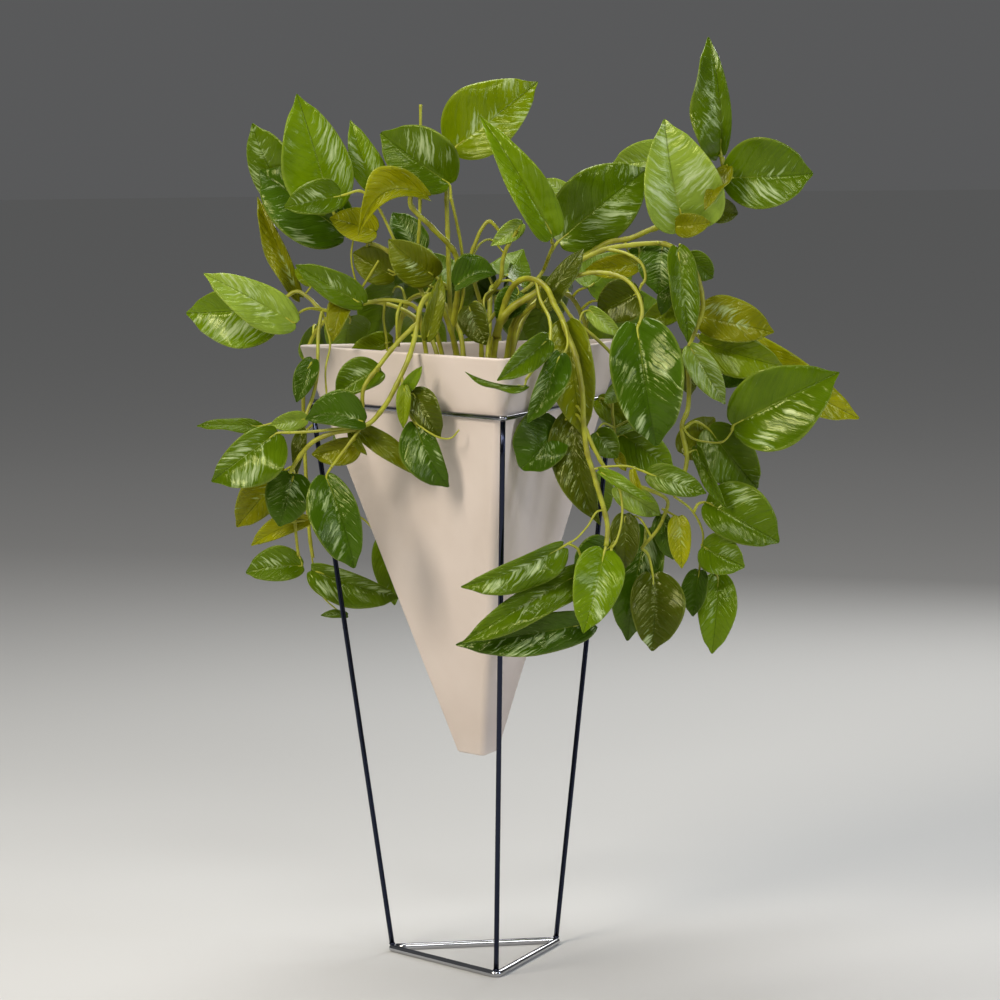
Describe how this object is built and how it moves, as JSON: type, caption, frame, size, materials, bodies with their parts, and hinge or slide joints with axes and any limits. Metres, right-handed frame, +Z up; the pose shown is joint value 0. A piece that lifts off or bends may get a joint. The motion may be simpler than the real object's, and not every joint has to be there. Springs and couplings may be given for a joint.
{
  "type": "potted_plant",
  "caption": "Golden pothos with upright and trailing heart-shaped leaves in a cream pot shaped as an upside-down three-sided pyramid, held off the floor by a slim steel wire stand",
  "frame": {"origin": "centre of the bounding box at the floor", "axes": "+Z up, -Y towards the side that the picture shows, +X to its right"},
  "size_m": [0.8224, 0.4936, 1.121],
  "materials": {
    "cream_ceramic": "matt, smooth",
    "potting_soil": "rough, crumbly",
    "dark_polished_steel": "polished, dark",
    "pothos_leaf": "waxy, glossy"
  },
  "bodies": {
    "root": {"pot": "cream_ceramic", "soil": "potting_soil", "ring_top": "dark_polished_steel", "ring_base": "dark_polished_steel", "leg_left": "dark_polished_steel", "leg_front": "dark_polished_steel", "leg_right": "dark_polished_steel", "vine_upper_left": "pothos_leaf", "vine_crown_left": "pothos_leaf", "vine_centre": "pothos_leaf", "vine_top_right": "pothos_leaf", "vine_arch_right": "pothos_leaf", "vine_mid_right": "pothos_leaf", "vine_front_right": "pothos_leaf", "vine_left_mid": "pothos_leaf", "vine_left_front": "pothos_leaf", "vine_left_back": "pothos_leaf", "vine_back_left": "pothos_leaf", "vine_back_middle": "pothos_leaf", "vine_back_right": "pothos_leaf"}
  },
  "joints": []
}
